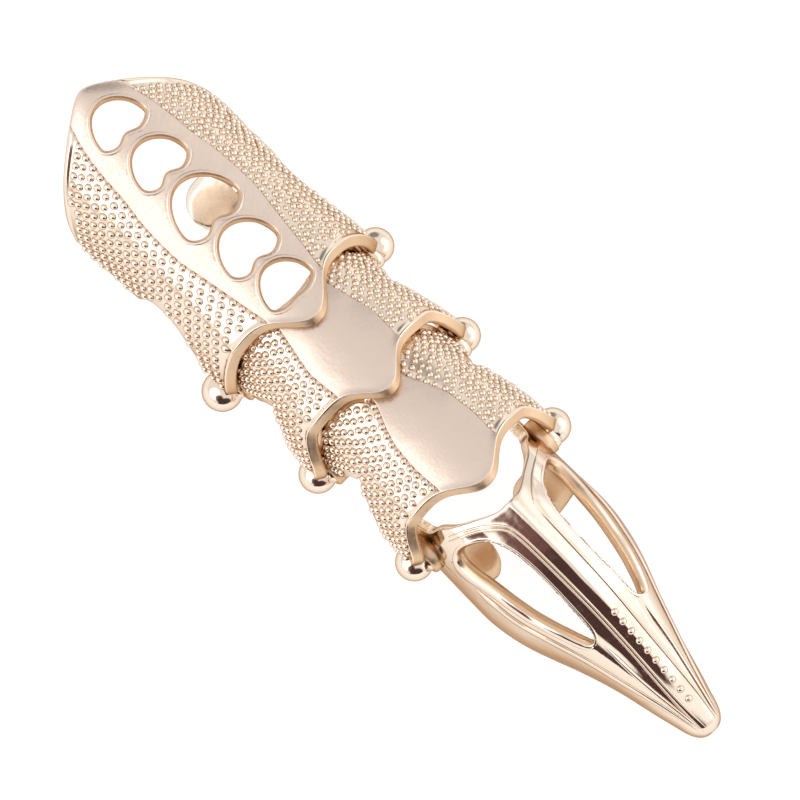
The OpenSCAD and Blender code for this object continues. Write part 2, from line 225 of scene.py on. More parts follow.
# The white tent round the table. Columns: azimuth and elevation of a patch,
# flatness, angle where it is full, angle where it ends, brightness there
TENT_LEVEL = 0.9
TENT_COLOUR = (TENT_LEVEL, 0.99 * TENT_LEVEL, TENT_LEVEL, 1)
TENT = [
    (-106, 38, 1.0, 24, 36, 2.4),
    (66, 30, 1.0, 14, 28, 1.6),
    (44, 8, 1.0, 18, 30, 1.5),
    (18, 20, 1.0, 9, 19, 1.3),
    (142, 24, 1.2, 14, 30, 0.3)]
# The dark opening in the tent's front. Columns: azimuth, elevation, flatness,
# angle where it is full, angle where it ends
OPENING = [(-66, 34, 1.0, 13, 26), (-35, 11, 1.2, 27, 35)]
OPENING_COLOUR = "#4E3838"
# The table is a wide round of opal glass, lit from below, just under the ring
TABLE_RADIUS, TABLE_DROP = 8000, 0.03


def make_studio():
    """A white tent round the ring: soft box on the left, dark opening in front."""
    bpy.context.scene.view_settings.view_transform = "Standard"
    world = bpy.data.worlds.new("studio")
    bpy.context.scene.world = world
    world.use_nodes = True
    tree = world.node_tree
    tree.nodes.clear()
    way = add(tree, "ShaderNodeTexCoord").outputs["Generated"]

    def patch(azimuth, elevation, flatness, inner, outer, level):
        """Share of a patch of the tent's wall: level inside its inner angle, 1 beyond its outer."""
        a, e = radians(azimuth), radians(elevation)
        middle = Vector((cos(a) * cos(e), sin(a) * cos(e), sin(e) * flatness)).normalized()
        flat = add(tree, "ShaderNodeVectorMath", {"operation": "MULTIPLY", 1: (1, 1, flatness)}, {0: way})
        unit = add(tree, "ShaderNodeVectorMath", {"operation": "NORMALIZE"}, {0: flat.outputs["Vector"]})
        dot = add(tree, "ShaderNodeVectorMath", {"operation": "DOT_PRODUCT", 1: middle},
                  {0: unit.outputs["Vector"]})
        share = add(tree, "ShaderNodeMapRange", {"interpolation_type": "SMOOTHSTEP",
                                                 "From Min": cos(radians(outer)),
                                                 "From Max": cos(radians(inner)),
                                                 "To Min": 1.0, "To Max": level},
                    {"Value": dot.outputs["Value"]})
        return share.outputs["Result"]

    def product(shares):
        """All the patches' shares, multiplied together."""
        whole = shares[0]
        for share in shares[1:]:
            times = add(tree, "ShaderNodeMath", {"operation": "MULTIPLY"}, {0: whole, 1: share})
            whole = times.outputs["Value"]
        return whole

    level = product([patch(*row) for row in TENT])
    closed = product([patch(*row, 0.0) for row in OPENING])
    colour = add(tree, "ShaderNodeMix", {"data_type": "RGBA", 6: linear(OPENING_COLOUR), 7: TENT_COLOUR},
                 {0: closed})
    back = add(tree, "ShaderNodeBackground", {}, {"Color": colour.outputs[2], "Strength": level})
    add(tree, "ShaderNodeOutputWorld", {}, {"Surface": back.outputs["Background"]})


def opal_glass():
    """Opal glass lit from below: flat white, without a reflection."""
    material = bpy.data.materials.new("opal_glass")
    material.use_nodes = True
    tree = material.node_tree
    tree.nodes.clear()
    shader = add(tree, "ShaderNodeBsdfPrincipled", {"Base Color": linear("#8C8C8C"), "Roughness": 0.9,
                                                    "Specular IOR Level": 0.0,
                                                    "Emission Color": linear("#FFFFFF"),
                                                    "Emission Strength": 0.85})
    add(tree, "ShaderNodeOutputMaterial", {}, {"Surface": shader.outputs["BSDF"]})
    return material


def make_table():
    """The luminous table that the ring lies on."""
    bm = bmesh.new()
    bmesh.ops.create_circle(bm, cap_ends=True, segments=96, radius=TABLE_RADIUS * MM)
    bmesh.ops.translate(bm, vec=(0, 0, -TABLE_DROP * MM), verts=bm.verts)
    mesh = bpy.data.meshes.new("table")
    bm.to_mesh(mesh)
    bm.free()
    mesh.materials.append(opal_glass())
    table = bpy.data.objects.new("table", mesh)
    bpy.context.scene.collection.objects.link(table)


make_studio()
make_table()

# Plates

# Front rims of the lips. Columns: depth of the arcs, height of the cusp, half
# width of the cusp, rise to the ear, angle where the rise starts and ends
LIP_BASE = (1.25, 3.65, 19, 1.8, 45, 92)
LIP_KNUCKLE = (2.65, 3.0, 17, 3.2, 52, 84)
LIP_MIDDLE = (2.25, 2.75, 20, 2.7, 52, 80)
CUSP_POWER = 2.3
# Rear rim of the base plate: place of its blunt arrow's point behind the
# first hinge, slant, half angle of the blunt point and bend of the slant
BASE_REAR = (30.7, 0.17, 10, 0.9)
# Rear rims tucked under the plate behind. Columns: distance between the
# hinges, tuck at the crest, how much deeper at the shoulders
KNUCKLE_REAR = (HINGE_2 - HINGE_1, 1.1, 1.1)
MIDDLE_REAR = (HINGE_3 - HINGE_2, 1.8, 1.8)


def lip_edge(a, lip):
    """Place of a lip's rim ahead of its hinge at angle a: arcs, cusp and rise to the ears."""
    arcs, cusp, cusp_width, rise, start, end = lip
    return (-arcs + cusp * exp(-((abs(a) / cusp_width) ** CUSP_POWER))
            + rise * smooth((abs(a) - start) / (end - start)))


def base_rear(a):
    """Place of the base plate's rear rim at angle a."""
    place, slant, blunt, bend = BASE_REAR
    return -place + slant * (hypot(a, blunt) - blunt) ** bend


def tucked_rear(a, rear):
    """Place of a tucked rear rim at angle a."""
    pitch, tuck, deeper = rear
    return -pitch - tuck - deeper * sin(radians(min(180, 2 * abs(a)))) ** 2


# Columns: place along the plate, half angle of the smooth strip, half angle
# of the lower edge, radius at the crest, radius at the sides
BASE_ROWS = [
    (0.00, 19.0, 88, 9.85, 10.10), (0.10, 24.5, 93, 9.90, 10.05), (0.20, 27.3, 94, 9.95, 9.95),
    (0.31, 29.0, 93, 9.95, 9.90), (0.40, 31.5, 89, 9.95, 9.92), (0.47, 32.4, 78, 9.95, 10.00),
    (0.53, 32.6, 73, 9.95, 10.10), (0.61, 32.3, 72, 9.95, 10.18), (0.69, 30.2, 75, 9.97, 10.25),
    (0.77, 28.0, 84, 10.00, 10.28), (0.84, 26.0, 95, 10.02, 10.40), (0.91, 24.0, 103, 10.05, 10.50),
    (1.00, 21.0, 105, 10.10, 10.60)]
KNUCKLE_ROWS = [
    (0.00, 21.0, 105, 8.40, 8.90), (0.14, 22.0, 103, 8.60, 8.90), (0.26, 23.5, 90, 8.84, 8.97),
    (0.34, 24.5, 80, 8.96, 9.07), (0.43, 25.7, 74, 9.05, 9.20), (0.48, 26.5, 72, 9.10, 9.32),
    (0.53, 27.0, 84, 9.15, 9.50), (0.63, 28.0, 95, 9.25, 9.85), (0.74, 27.5, 100, 9.35, 10.18),
    (0.86, 26.5, 103, 9.45, 10.45), (1.00, 25.0, 105, 9.55, 10.60)]
MIDDLE_ROWS = [
    (0.00, 13.0, 105, 7.75, 8.75), (0.14, 14.0, 102, 8.10, 8.80), (0.26, 17.5, 82, 8.48, 8.92),
    (0.34, 20.0, 71, 8.70, 9.08), (0.42, 22.0, 66, 8.88, 9.25), (0.46, 23.0, 62, 8.95, 9.35),
    (0.51, 24.0, 73, 9.03, 9.48), (0.63, 25.0, 87, 9.13, 9.75), (0.74, 25.5, 98, 9.22, 9.92),
    (0.86, 25.0, 103, 9.30, 10.05), (1.00, 24.0, 105, 9.40, 10.15)]


class Plate:
    """Shape of one cast plate: rims and radii about the finger axis, ahead of its own hinge."""

    def __init__(self, hinge, rows, rear, front, rear_border):
        self.hinge, self.rows, self.rear, self.front = hinge, rows, rear, front
        self.rear_border = rear_border

    def station(self, a, x):
        """Share of the way from the rear rim to the front rim."""
        rear, front = self.rear(a), self.front(a)
        return min(1.0, max(0.0, (x - rear) / (front - rear)))

    def strip(self, s):
        """Half angle of the strip."""
        return curve(self.rows, s, 1)

    def lower(self, s):
        """Angle of the lower edge."""
        return curve(self.rows, s, 2)

    def point(self, a, x, outside=True, drop=0.0, lift=0.0):
        """Point at angle a and place x, drop below the outside or lift off the inside."""
        s = self.station(a, x)
        d = self.front(a) - x
        side = sin(radians(a)) ** 2
        ease = 1 - EAR_EASE * smooth((abs(a) - EAR_START) / EAR_SPREAD)
        near = max(0.0, 1 - d / LIP_FLARE_LENGTH)
        slope = atan(2 * LIP_FLARE / LIP_FLARE_LENGTH * near * ease)
        r = curve(self.rows, s, 3) * (1 - side) + curve(self.rows, s, 4) * side
        r += LIP_FLARE * near * near * ease
        if self.rear_border:
            r -= REAR_ROLL * max(0.0, 1 - (x - self.rear(a)) / REAR_ROLL_LENGTH) ** 2
        if outside:
            in_strip = (self.strip(s) - abs(a)) / DEG_PER_MM
            rise = max(smooth((in_strip + STRIP_SLOPE) / (2 * STRIP_SLOPE)),
                       smooth((LIP_BORDER - d) / LIP_BORDER_SLOPE + 0.5))
            if self.rear_border:
                rise = max(rise, smooth((self.rear_border - (x - self.rear(a))) / REAR_BORDER_SLOPE + 0.5))
            line = LINE_DEPTH * exp(-(((in_strip + LINE_OUTSIDE) / LINE_WIDTH) ** 2))
            r += STRIP_RISE * rise - line * (1 - smooth((LIP_BORDER - d) / LINE_FADE + 0.5))
            depth = drop
        else:
            depth = WALL - lift
        xs = x + depth * sin(slope)
        rs = r - depth * cos(slope)
        return Vector((self.hinge + xs, rs * sin(radians(a)), AXIS_HEIGHT + rs * cos(radians(a))))

    def normal(self, a, x, step=0.15):
        """Way straight out from the skin."""
        along = self.point(a, x + step) - self.point(a, x - step)
        across = self.point(a + step * DEG_PER_MM, x) - self.point(a - step * DEG_PER_MM, x)
        return across.cross(along).normalized() * -1


def rim_steps():
    """Distances from a rim, closer together where it rounds over."""
    return [RIM_ROUND * (1 - cos(radians(t))) for t in (0, 26, 45, 62, 76, 90)]


def rim_drop(d):
    """How far a rounded rim falls below the skin at distance d from its end."""
    q = max(0.0, 1 - d / RIM_ROUND)
    return RIM_ROUND * (1 - sqrt(1 - q * q))


# Lines close together over the strip's edge, from inside it to outside
STRIP_EDGE = (-0.2, -0.14, -0.07, -0.02, 0.04, 0.09, 0.14, 0.2)


def lateral_lines(strip_steps, flank_steps):
    """Lines from the crest to a lower edge as (share of strip angle, share of edge angle, mm)."""
    lines = [(k / strip_steps, 0.0, STRIP_EDGE[0] * k / strip_steps) for k in range(strip_steps + 1)]
    lines += [(1.0, 0.0, d) for d in STRIP_EDGE[1:]]
    lines += [(1 - k / flank_steps, k / flank_steps,
               STRIP_EDGE[-1] * (1 - k / flank_steps) - RIM_ROUND * k / flank_steps)
              for k in range(1, flank_steps)]
    lines += [(0.0, 1.0, -d) for d in reversed(rim_steps())]
    return lines


def length_lines(steps):
    """Rows from the rear rim to the front rim as (share of rear, share of front, mm)."""
    rear = [(1.0, 0.0, d) for d in rim_steps()]
    front = [(0.0, 1.0, -row[0]) for row in reversed(LIP_EDGE)]
    first, last = rear[-1][2], front[0][2]
    between = [(1 - k / steps, k / steps, first * (1 - k / steps) + last * k / steps)
               for k in range(1, steps)]
    return rear + between + front


def thicken(bm, faces, move, along, across):
    """Gives a sheet its thickness: copies it, closes the rims and moves the copy's points."""
    grown = bmesh.ops.extrude_face_region(bm, geom=faces, use_keep_orig=True)
    for vert in [g for g in grown["geom"] if isinstance(g, bmesh.types.BMVert)]:
        vert.co = move(vert[along], vert[across])


def inside(outline, x, y):
    """Whether a point lies inside a closed outline of points."""
    hit = False
    n = len(outline)
    for i in range(n):
        a, b = outline[i], outline[(i + 1) % n]
        if (a.y > y) != (b.y > y) and x < (b.x - a.x) * (y - a.y) / (b.y - a.y) + a.x:
            hit = not hit
    return hit


def grown_outline(outline, by):
    """A closed outline moved outwards by a distance."""
    n = len(outline)
    area = sum(outline[i - 1].cross(outline[i]) for i in range(n))
    turn = 1 if area > 0 else -1
    moved = []
    for i in range(n):
        t = (outline[(i + 1) % n] - outline[i - 1]).normalized()
        moved.append(outline[i] + Vector((t.y, -t.x)) * by * turn)
    return moved


# A hole's edge is pulled onto its outline from this far at most
EDGE_PULL = 0.35
# The hearts lie within this distance of the crest
CREST_HALF = 4.0


def on_edge(outlines, x, y):
    """The nearest point on any of the outlines, or nothing if none is near."""
    best, p = EDGE_PULL, Vector((x, y))
    found = None
    for outline in outlines:
        for i, a in enumerate(outline):
            b = outline[(i + 1) % len(outline)]
            t = min(1.0, max(0.0, (p - a).dot(b - a) / (b - a).length_squared))
            gap = (p - a.lerp(b, t)).length
            if gap < best:
                best, found = gap, a.lerp(b, t)
    return found


def plate_sheet(bm, plate, steps, cuts):
    """A cast plate from a grid: its outside, its inside and its rounded rims."""
    lateral, lengthwise = lateral_lines(*steps[:2]), length_lines(steps[2])
    half = len(lateral) - 1
    cols, rows = 2 * half, len(lengthwise) - 1
    along = bm.verts.layers.float.new("along")
    across = bm.verts.layers.float.new("across")
    made = bmesh.ops.create_grid(bm, x_segments=cols, y_segments=rows, size=1.0)

    def place(i, j):
        k_strip, k_lower, mm_side = lateral[abs(j - half)]
        sign = 1 if j >= half else -1
        k_rear, k_front, mm_long = lengthwise[i]
        s = k_front
        a, x = 0.0, 0.0
        for _ in range(3):
            a = k_strip * plate.strip(s) + k_lower * plate.lower(s) + mm_side * DEG_PER_MM
            x = k_rear * plate.rear(a) + k_front * plate.front(a) + mm_long
            s = plate.station(a, x)
        side = rim_drop(-mm_side) if k_lower == 1.0 else 0.0
        rear = rim_drop(mm_long) if k_rear == 1.0 else 0.0
        front = curve(LIP_EDGE, -mm_long, 1) if k_front == 1.0 else 0.0
        ends = rim_drop(-mm_long) if k_front == 1.0 else rear
        return sign * a, x, max(side, rear, front), INNER_ROUND * max(side, ends)

    places = {}
    for vert in made["verts"]:
        j = round((vert.co.x + 1) / 2 * cols)
        i = round((vert.co.y + 1) / 2 * rows)
        places[i, j] = place(i, j)
        vert[along], vert[across] = i, j
        a, x, drop, lift = places[i, j]
        vert.co = plate.point(a, x, True, drop)
    faces = list({f for v in made["verts"] for f in v.link_faces})
    gone = []
    for face in faces:
        middle = face.calc_center_median()
        if abs(middle.y) < CREST_HALF and any(inside(cut, middle.x - plate.hinge, middle.y) for cut in cuts):
            gone.append(face)
        # Lip fronts get the finish whose darker colour is painted shade and reflection
        elif all(lengthwise[round(v[along])][2] > -LIP_FRONT and lengthwise[round(v[along])][1] == 1.0
                 for v in face.verts):
            face.material_index = PAINTED_SHADE_FINISH
        elif all(lateral[abs(round(v[across]) - half)][1] == 0.0 for v in face.verts):
            face.material_index = PANEL
    bmesh.ops.delete(bm, geom=gone, context="FACES")
    kept = [f for f in faces if f.is_valid]
    for vert in made["verts"] if cuts else []:
        if vert.is_valid and vert.is_boundary and abs(vert.co.y) < CREST_HALF + 0.2:
            edge = on_edge(cuts, vert.co.x - plate.hinge, vert.co.y)
            if edge:
                a = degrees(asin(edge.y / hypot(vert.co.y, vert.co.z - AXIS_HEIGHT)))
                places[round(vert[along]), round(vert[across])] = (a, edge.x, 0.0, 0.0)
                vert.co = plate.point(a, edge.x)

    def inner(i, j):
        a, x, drop, lift = places[round(i), round(j)]
        return plate.point(a, x, False, 0.0, lift)

    thicken(bm, kept, inner, along, across)


def tube(bm, point, along, around, closed, finish):
    """A bar from a grid wound round a path. point takes shares of the path and of the turn, and
    finish is a finish or a function of the turn's share."""
    made = bmesh.ops.create_grid(bm, x_segments=along, y_segments=around, size=1.0)
    faces = list({f for v in made["verts"] for f in v.link_faces})
    for face in faces:
        face.material_index = finish((face.calc_center_median().y + 1) / 2) if callable(finish) else finish
    for vert in made["verts"]:
        vert.co = point((vert.co.x + 1) / 2, (vert.co.y + 1) / 2)
    bmesh.ops.remove_doubles(bm, verts=made["verts"], dist=1e-4)
    faces = [f for f in faces if f.is_valid]
    if not closed:
        edges = list({e for f in faces for e in f.edges if e.is_boundary})
        faces += bmesh.ops.holes_fill(bm, edges=edges, sides=0)["faces"]
    bmesh.ops.recalc_face_normals(bm, faces=faces)


JOINED = bpy.data.meshes.new("joined")


# How finely balls and beads are divided: round, and from pole to pole
BALL_STEPS, BEAD_STEPS = (40, 24), (10, 6)


def append(bm, other):
    """Adds one mesh's closed shells to another."""
    other.to_mesh(JOINED)
    other.free()
    bm.from_mesh(JOINED)


def add_ball(bm, place, turn, size, steps):
    """Adds a ball, stretched by its size, turned and moved to its place, as a closed shell."""
    ball = bmesh.new()
    matrix = Matrix.Translation(place) @ turn @ Matrix.Diagonal((*size, 1))
    bmesh.ops.create_uvsphere(ball, u_segments=steps[0], v_segments=steps[1], radius=1.0, matrix=matrix)
    append(bm, ball)


def finish_casting(bm, name, body, node):
    """Scales a casting to metres, smooths its shading and hands it to the frame."""
    bmesh.ops.scale(bm, vec=(MM, MM, MM), verts=bm.verts)
    mesh = bpy.data.meshes.new(name)
    bm.to_mesh(mesh)
    bm.free()
    for attribute in ("along", "across"):
        if attribute in mesh.attributes:
            mesh.attributes.remove(mesh.attributes[attribute])
    mesh.polygons.foreach_set("use_smooth", [True] * len(mesh.polygons))
    piece = bpy.data.objects.new(name, mesh)
    bpy.context.scene.collection.objects.link(piece)
    for material in FINISHES:
        mesh.materials.append(material)
    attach(piece, body)
    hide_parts(node)


def bead(bm, place, normal, radius, height):
    """A low round bead standing on the skin."""
    turn = normal.to_track_quat("Z", "Y").to_matrix().to_4x4()
    add_ball(bm, place, turn, (radius, radius, height), BEAD_STEPS)


def scatter(k, row):
    """A repeatable odd number between -0.5 and 0.5 for one bead."""
    return sin(12.9898 * k + 78.233 * row) * 437.585 % 1.0 - 0.5


# Beads on the flanks, left and right. Columns: distance between rows,
# distance between beads, shift of a row on the one above, radius, height,
# unevenness
BASE_BEADS = ((0.95, 1.22, 0.48, 0.44, 0.32, 0.12), (0.8, 0.84, 0.42, 0.36, 0.28, 0.3))
SHORT_BEADS = ((0.9, 1.0, 0.5, 0.42, 0.32, 0.14), (0.8, 0.84, 0.42, 0.36, 0.28, 0.3))
# Rows tried on a flank, beads tried behind and ahead of the hinge in each,
# distance of the first row from the strip, and how much a bead's size varies
# with the unevenness
BEAD_ROWS, BEADS_BEHIND, BEADS_AHEAD = 18, 40, 16
FIRST_ROW = 0.42
BEAD_VARIETY = 1.2
# Bare metal left behind the beads, before the lip's border and above the
# lower edge
BARE_REAR, BARE_LIP, BARE_LOWER = 1.3, 0.45, 0.75


def bead_field(bm, plate, side, beads):
    """Rows of beads along one flank, each row shifted on the one above it."""
    row_pitch, bead_pitch, shift, radius, height, uneven = beads
    field = bmesh.new()
    for row in range(BEAD_ROWS):
        for k in range(-BEADS_BEHIND, BEADS_AHEAD):
            x = bead_pitch * k + shift * row + uneven * scatter(k, row)
            down = FIRST_ROW + row * row_pitch + uneven * scatter(row + 9, k)
            size = 1 + BEAD_VARIETY * uneven * scatter(k + 5, row + 3)
            a = 0.0
            for _ in range(2):
                s = plate.station(a, x)
                a = plate.strip(s) + down * DEG_PER_MM
            if x < plate.rear(a) + BARE_REAR or x > plate.front(a) - LIP_BORDER - BARE_LIP:
                continue
            if a > plate.lower(s) - BARE_LOWER * DEG_PER_MM:
                continue
            bead(field, plate.point(side * a, x), plate.normal(side * a, x), radius * size, height * size)
    append(bm, field)


# Hearts down the crest. Columns: centre from the first hinge, half width,
# reach to the rear, reach to the front, depth of the cleft
HEARTS = [(-25.15, 2.9, 3.3, 1.6, 0.7), (-19.6, 2.95, 3.2, 2.0, 0.9), (-13.05, 3.5, 4.1, 2.3, 1.0),
          (-7.2, 3.1, 3.5, 2.1, 0.9), (-1.9, 2.8, 3.15, 1.6, 0.2)]
# The right lobes are wider than the left ones, and both swell towards the
# cleft, whose half width is a share of the heart's
HEART_RIGHT_LOBE = 1.14
LOBE_SWELL = 0.1
CLEFT_WIDTH = 0.36
HEART_POINTS = 72


def heart_point(heart, t):
    """Point on a heart's outline seen from above, at turn t round its centre."""
    x, half_width, behind, ahead, cleft = heart
    y = half_width * sin(t) * (1 + LOBE_SWELL * cos(t)) * (HEART_RIGHT_LOBE if sin(t) > 0 else 1)
    if cos(t) > 0:
        return Vector((x + ahead * cos(t) - cleft * exp(-((y / (CLEFT_WIDTH * half_width)) ** 2)), y))
    return Vector((x + behind * cos(t), y))


def evened(outline, n):
    """The same closed outline with n points evenly spaced."""
    total = [0.0]
    m = len(outline)
    for i in range(m):
        total.append(total[-1] + (outline[(i + 1) % m] - outline[i]).length)
    out, i = [], 0
    for k in range(n):
        want = total[-1] * k / n
        while total[i + 1] < want:
            i += 1
        t = (want - total[i]) / max(1e-9, total[i + 1] - total[i])
        out.append(outline[i].lerp(outline[(i + 1) % m], t))
    return out


def opening_rim(bm, outline, height, profile, top, finish):
    """A rim round an opening; all but its top faces take the finish with painted shade and reflection.
    Profile: out from the edge, up.
    """
    loops = [grown_outline(outline, out) for out, up in profile]
    steps = len(outline)

    def point(u, t):
        i = round(u * steps) % steps
        j = round(t * len(profile)) % len(profile)
        p = loops[j][i]
        return height(p.x, p.y, profile[j][1])

    def dressed(t):
        j = int(t * len(profile))
        # The faces but the top ones get painted shade and reflection
        return finish if top[0] <= j < top[1] else PAINTED_SHADE_FINISH

    tube(bm, point, steps, len(profile), True, dressed)


BASE = Plate(HINGE_1, BASE_ROWS, base_rear, lambda a: lip_edge(a, LIP_BASE), REAR_BORDER)
KNUCKLE = Plate(HINGE_2, KNUCKLE_ROWS, lambda a: tucked_rear(a, KNUCKLE_REAR),
                lambda a: lip_edge(a, LIP_KNUCKLE), 0)
MIDDLE = Plate(HINGE_3, MIDDLE_ROWS, lambda a: tucked_rear(a, MIDDLE_REAR),
               lambda a: lip_edge(a, LIP_MIDDLE), 0)

# Ball knobs, left and right. Columns: ahead of the hinge, off centre, radius
BASE_KNOBS = ((-0.7, 10.55, 2.1), (0.0, 10.65, 1.9))
KNUCKLE_KNOBS = ((-0.28, 9.95, 1.95), (0.25, 10.2, 1.85))
MIDDLE_KNOBS = ((-0.28, 9.6, 1.95), (0.0, 9.85, 1.9))
# The ear that joins a knob to its lip: ahead of the knob, inwards, up, and
# its half length, half width and half height
EAR_PLACE, EAR_SIZE = (0.25, 1.0, 0.35), (1.75, 1.15, 1.5)


def knobs(bm, hinge, pair):
    """Ball knobs on the ends of a lip, each with the ear that joins it."""
    for side, (ahead, half, radius) in zip((-1, 1), pair):
        place = Vector((hinge + ahead, side * half, HINGE_HEIGHT))
        add_ball(bm, place, Matrix(), (radius, radius, radius), BALL_STEPS)
        ear = place + Vector((EAR_PLACE[0], -side * EAR_PLACE[1], EAR_PLACE[2]))
        add_ball(bm, ear, Matrix(), EAR_SIZE, BALL_STEPS)


# Lugs at a rear rim: distance of their near and far sides off centre
KNUCKLE_LUGS, MIDDLE_LUGS, CLAW_LUGS = (7.9, 9.25), (7.75, 9.2), (7.0, 8.85)
LUG_BORE, LUG_RADIUS, LUG_BEVEL = 0.82, 2.1, 0.2
LUG_STEPS = 48


def lugs(bm, hinge, sides):
    """Round lugs that turn inside the ears, bored for their rivets."""
    near, far = sides
    section = [(LUG_BORE, near), (LUG_RADIUS - LUG_BEVEL, near), (LUG_RADIUS, near + LUG_BEVEL),
               (LUG_RADIUS, far - LUG_BEVEL), (LUG_RADIUS - LUG_BEVEL, far), (LUG_BORE, far)]
    for side in (-1, 1):
        def point(u, t):
            r, y = section[round(t * len(section)) % len(section)]
            turn = 2 * pi * u
            return Vector((hinge + r * cos(turn), side * y, HINGE_HEIGHT + r * sin(turn)))
        # The lugs take the finish with painted shade in its colour
        tube(bm, point, LUG_STEPS, len(section), True, PAINTED_SHADE_FINISH)


# Section of a band's arm. Columns: share of its half width, share of its
# half thickness
BAND_SECTION = [(1, 0.3), (0.93, 0.75), (0.6, 1), (0, 1), (-0.6, 1), (-0.93, 0.75), (-1, 0.3),
                (-0.93, -0.5), (-0.6, -1), (0, -1), (0.6, -1), (0.93, -0.5)]
BAND_HALF_THICKNESS = 0.5
BAND_TIP = 0.02
# Bands: middle along the finger, half width, radius across, radius down,
# radius for the rounding of the ends, angle at the roots, angles at the left
# and the right end, steps along an arm
FINGER_BAND = (HINGE_1 - 15.65, 2.85, 9.2, 9.2, 9.7, 78, (170, 175.2), 60)
CLAW_BAND = (HINGE_3 + 3.3, 2.7, 7.45, 9.18, 9.0, 90, (163, 163), 50)


def open_band(bm, band, finish):
    """Open band in two arms with round ends, which narrow to the tip's half width."""
    middle, half_width, across, down, end_radius, root, ends, steps = band
    for side, end in zip((-1, 1), ends):
        def point(u, t):
            a = radians(root + u * (end - root))
            back = half_width - min((radians(end) - a) * end_radius, half_width)
            width = max(BAND_TIP, sqrt(max(0.0, half_width ** 2 - back ** 2)))
            ahead, out = BAND_SECTION[round(t * len(BAND_SECTION)) % len(BAND_SECTION)]
            lift = out * BAND_HALF_THICKNESS
            return Vector((middle + ahead * width, side * (across + lift) * sin(a),
                           AXIS_HEIGHT + (down + lift) * cos(a)))
        tube(bm, point, steps, len(BAND_SECTION), False, finish)


def tilt_at(y, radius):
    """Angle from the crest of a point that lies y off centre on a given radius."""
    return degrees(asin(max(-1.0, min(1.0, y / radius))))


# Rim of a heart. Columns: out from its edge, up from the skin. The faces
# from HEART_TOP's first to its last are the satin top
HEART_RIM = [(-0.2, -1.15), (-0.22, -0.62), (-0.2, -0.48), (-0.1, -0.2), (0.03, -0.02),
             (0.12, 0.05), (0.24, 0.05), (0.42, -0.02), (0.5, -0.3), (0.4, -1.2), (0.0, -1.3)]
HEART_TOP = (4, 8)
# The skin is cut this far outside an opening, under its rim
CUT_BACK = 0.2
# Radius of the base plate's raised strip
CREST_RADIUS = 10.1
# Lines over half a strip, lines over a flank and rows from rim to rim
BASE_GRID, SHORT_GRID = (30, 24, 130), (18, 22, 70)


def on_base(x, y, up):
    """Point on or above the base plate's skin, seen from above at x and y."""
    p = BASE.point(tilt_at(y, CREST_RADIUS), x)
    out = Vector((0, p.y, p.z - AXIS_HEIGHT)).normalized()
    return Vector((p.x, y, p.z + out.z * up))


def make_base():
    """Base plate with its five hearts, knobs, beads and finger band, one casting."""
    bm = bmesh.new()
    hearts = [evened([heart_point(heart, radians(t)) for t in range(0, 360, 3)], HEART_POINTS)
              for heart in HEARTS]
    cuts = [grown_outline(heart, CUT_BACK) for heart in hearts]
    plate_sheet(bm, BASE, BASE_GRID, cuts)
    for heart in hearts:
        opening_rim(bm, heart, on_base, HEART_RIM, HEART_TOP, PANEL)
    open_band(bm, FINGER_BAND, TUMBLED)
    knobs(bm, HINGE_1, BASE_KNOBS)
    for side, beads in zip((-1, 1), BASE_BEADS):
        bead_field(bm, BASE, side, beads)
    finish_casting(bm, "base_casting", "base", "base_plate")


def make_short_plate(plate, name, body, node, pair, rear_hinge, rear_lugs):
    """Knuckle or middle plate with its knobs, rear lugs and beads, one casting."""
    bm = bmesh.new()
    plate_sheet(bm, plate, SHORT_GRID, [])
    knobs(bm, plate.hinge, pair)
    lugs(bm, rear_hinge, rear_lugs)
    for side, beads in zip((-1, 1), SHORT_BEADS):
        bead_field(bm, plate, side, beads)
    finish_casting(bm, name, body, node)


# Claw

# Claw sections. Columns: distance from the third hinge, crest height, half
# width, height of the lower edge, all from the finger axis
CLAW_ROWS = [
    (-2.6, 9.2, 8.0, -2.8), (0, 9.35, 8.1, -3.0), (3, 9.3, 8.2, -3.4), (6, 8.9, 8.3, -3.7),
    (9, 8.25, 8.35, -3.9), (11.5, 7.5, 8.05, -4.1), (14, 6.5, 7.45, -4.3), (16.4, 5.25, 6.6, -4.6),
    (18.8, 3.6, 5.65, -5.2), (21.3, 1.5, 4.75, -6.0), (23.7, -0.7, 4.0, -6.9), (25.6, -2.5, 3.5, -7.7),
    (27.5, -4.1, 3.0, -8.4), (29.2, -5.45, 2.5, -9.1), (30.3, -6.4, 2.2, -9.4), (31.0, -7.0, 1.92, -9.55),
    (31.6, -7.55, 1.52, -9.6), (32.0, -8.1, 1.05, -9.5), (32.2, -8.5, 0.5, -9.3)]
CLAW_END = 32.2
# Arched rear rim. Columns: distance off centre, distance from the third hinge
ARCH_RIM = [(0, 3.45), (1.6, 3.25), (3.7, 2.2), (5.45, 0.9), (6.35, -0.2), (7.1, -1.0), (7.4, -2.6),
            (9, -2.6)]
# Outline of a window seen from above. Columns: distance from the third
# hinge, distance off centre
WINDOW = [(2.6, 6.9), (3.0, 5.9), (4.0, 4.8), (5.3, 3.95), (7.2, 3.4), (9.8, 3.15), (13, 3.15),
          (16.2, 3.25), (18.1, 3.35), (18.9, 3.6), (18.7, 4.1), (17, 4.85), (14.8, 5.6), (12.4, 6.2),
          (10, 6.65), (7.5, 6.95), (5.3, 7.3), (3.5, 7.35)]
WINDOW_POINTS = 96
# Rim of a window, as a heart's
WINDOW_RIM = [(-0.12, -1.3), (-0.14, -0.62), (-0.1, -0.45), (0.0, -0.2), (0.1, -0.03), (0.17, 0.03),
              (0.32, 0.03), (0.44, -0.03), (0.46, -0.4), (0.2, -1.4)]
WINDOW_TOP = (3, 10)
